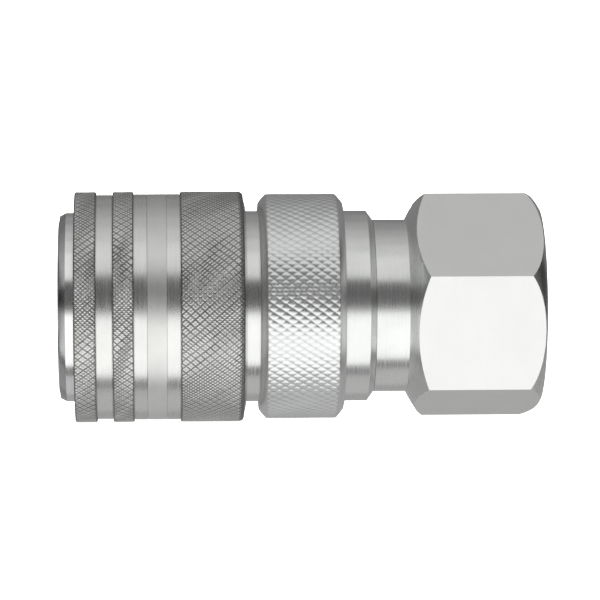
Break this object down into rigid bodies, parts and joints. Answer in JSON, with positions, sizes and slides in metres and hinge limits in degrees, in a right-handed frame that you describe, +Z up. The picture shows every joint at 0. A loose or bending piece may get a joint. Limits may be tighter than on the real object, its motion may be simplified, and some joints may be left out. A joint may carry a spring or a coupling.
{
  "type": "quick disconnect coupler",
  "caption": "Ball-locking quick disconnect socket with a spring sleeve that pulls back, a knurled screw collar, a shut-off valve and a hexagonal rear adapter with a female pipe port.",
  "frame": {"origin": "on the coupler's axis, at the middle of its length", "axes": "+X along the axis from the socket mouth at -X to the pipe port at +X; +Z up; the nearest corner of the hexagon is 13.9 degrees above -Y"},
  "size_m": [0.086, 0.0414, 0.0414],
  "materials": {
    "barrel_steel": "turned, bright zinc plated",
    "sleeve_steel": "turned and diamond knurled, zinc plated, slightly grey",
    "collar_steel": "coarse diamond knurl, bright zinc plated",
    "adapter_steel": "satin zinc plated hexagon steel",
    "spring_steel": "drawn spring wire",
    "ball_steel": "polished hardened steel",
    "valve_brass": "turned brass",
    "seal_rubber": "moulded nitrile rubber"
  },
  "bodies": {
    "barrel_body": {"barrel": "barrel_steel", "nose_ring": "barrel_steel", "nose_ring_wire": "spring_steel", "plug_seal": "seal_rubber", "adapter": "adapter_steel", "adapter_seal": "seal_rubber", "valve_guide": "valve_brass", "sleeve_spring": "spring_steel", "valve_spring": "spring_steel"},
    "spring_washer_body": {"spring_washer": "spring_steel"},
    "sleeve_body": {"sleeve": "sleeve_steel"},
    "poppet_body": {"poppet": "valve_brass", "poppet_seal": "seal_rubber"},
    "drag_ring_body": {"collar_drag_ring": "seal_rubber"},
    "collar_body": {"lock_collar": "collar_steel"},
    "ball_1_body": {"ball_1": "ball_steel"},
    "ball_2_body": {"ball_2": "ball_steel"},
    "ball_3_body": {"ball_3": "ball_steel"},
    "ball_4_body": {"ball_4": "ball_steel"},
    "ball_5_body": {"ball_5": "ball_steel"},
    "ball_6_body": {"ball_6": "ball_steel"},
    "ball_7_body": {"ball_7": "ball_steel"},
    "ball_8_body": {"ball_8": "ball_steel"},
    "ball_9_body": {"ball_9": "ball_steel"},
    "ball_10_body": {"ball_10": "ball_steel"},
    "ball_11_body": {"ball_11": "ball_steel"},
    "ball_12_body": {"ball_12": "ball_steel"}
  },
  "joints": [
    {"name": "sleeve_slide", "type": "slide", "parent": "barrel_body", "child": "spring_washer_body", "axis": [1, 0, 0], "range_m": [0, 0.0022], "stiffness_N_per_m": 800, "springref_m": -0.002, "deforming": ["sleeve_spring"]},
    {"name": "sleeve_spin", "type": "hinge", "parent": "spring_washer_body", "child": "sleeve_body", "pos_m": [0, 0, 0], "axis": [1, 0, 0], "continuous": true},
    {"name": "poppet_slide", "type": "slide", "parent": "barrel_body", "child": "poppet_body", "axis": [1, 0, 0], "range_m": [0, 0.006], "stiffness_N_per_m": 100, "springref_m": -0.002, "deforming": ["valve_spring"]},
    {"name": "collar_travel", "type": "slide", "parent": "barrel_body", "child": "drag_ring_body", "axis": [1, 0, 0], "range_m": [0, 0.004]},
    {"name": "collar_turn", "type": "hinge", "parent": "drag_ring_body", "child": "collar_body", "pos_m": [0, 0, 0], "axis": [1, 0, 0], "range_deg": [0, 950]},
    {"name": "ball_1_slide", "type": "slide", "parent": "barrel_body", "child": "ball_1_body", "axis": [0, 0, 1], "range_m": [0, 0.0012]},
    {"name": "ball_2_slide", "type": "slide", "parent": "barrel_body", "child": "ball_2_body", "axis": [0, -0.5, 0.866], "range_m": [0, 0.0012]},
    {"name": "ball_3_slide", "type": "slide", "parent": "barrel_body", "child": "ball_3_body", "axis": [0, -0.866, 0.5], "range_m": [0, 0.0012]},
    {"name": "ball_4_slide", "type": "slide", "parent": "barrel_body", "child": "ball_4_body", "axis": [0, -1, 0], "range_m": [0, 0.0012]},
    {"name": "ball_5_slide", "type": "slide", "parent": "barrel_body", "child": "ball_5_body", "axis": [0, -0.866, -0.5], "range_m": [0, 0.0012]},
    {"name": "ball_6_slide", "type": "slide", "parent": "barrel_body", "child": "ball_6_body", "axis": [0, -0.5, -0.866], "range_m": [0, 0.0012]},
    {"name": "ball_7_slide", "type": "slide", "parent": "barrel_body", "child": "ball_7_body", "axis": [0, 0, -1], "range_m": [0, 0.0012]},
    {"name": "ball_8_slide", "type": "slide", "parent": "barrel_body", "child": "ball_8_body", "axis": [0, 0.5, -0.866], "range_m": [0, 0.0012]},
    {"name": "ball_9_slide", "type": "slide", "parent": "barrel_body", "child": "ball_9_body", "axis": [0, 0.866, -0.5], "range_m": [0, 0.0012]},
    {"name": "ball_10_slide", "type": "slide", "parent": "barrel_body", "child": "ball_10_body", "axis": [0, 1, 0], "range_m": [0, 0.0012]},
    {"name": "ball_11_slide", "type": "slide", "parent": "barrel_body", "child": "ball_11_body", "axis": [0, 0.866, 0.5], "range_m": [0, 0.0012]},
    {"name": "ball_12_slide", "type": "slide", "parent": "barrel_body", "child": "ball_12_body", "axis": [0, 0.5, 0.866], "range_m": [0, 0.0012]}
  ],
  "couplings": [
    {"joint": "collar_travel", "follows": "collar_turn", "m_per_rad": 0.00023873},
    {"joint": "ball_1_slide", "follows": "sleeve_slide", "ratio": 0.5454},
    {"joint": "ball_2_slide", "follows": "sleeve_slide", "ratio": 0.5454},
    {"joint": "ball_3_slide", "follows": "sleeve_slide", "ratio": 0.5454},
    {"joint": "ball_4_slide", "follows": "sleeve_slide", "ratio": 0.5454},
    {"joint": "ball_5_slide", "follows": "sleeve_slide", "ratio": 0.5454},
    {"joint": "ball_6_slide", "follows": "sleeve_slide", "ratio": 0.5454},
    {"joint": "ball_7_slide", "follows": "sleeve_slide", "ratio": 0.5454},
    {"joint": "ball_8_slide", "follows": "sleeve_slide", "ratio": 0.5454},
    {"joint": "ball_9_slide", "follows": "sleeve_slide", "ratio": 0.5454},
    {"joint": "ball_10_slide", "follows": "sleeve_slide", "ratio": 0.5454},
    {"joint": "ball_11_slide", "follows": "sleeve_slide", "ratio": 0.5454},
    {"joint": "ball_12_slide", "follows": "sleeve_slide", "ratio": 0.5454}
  ]
}
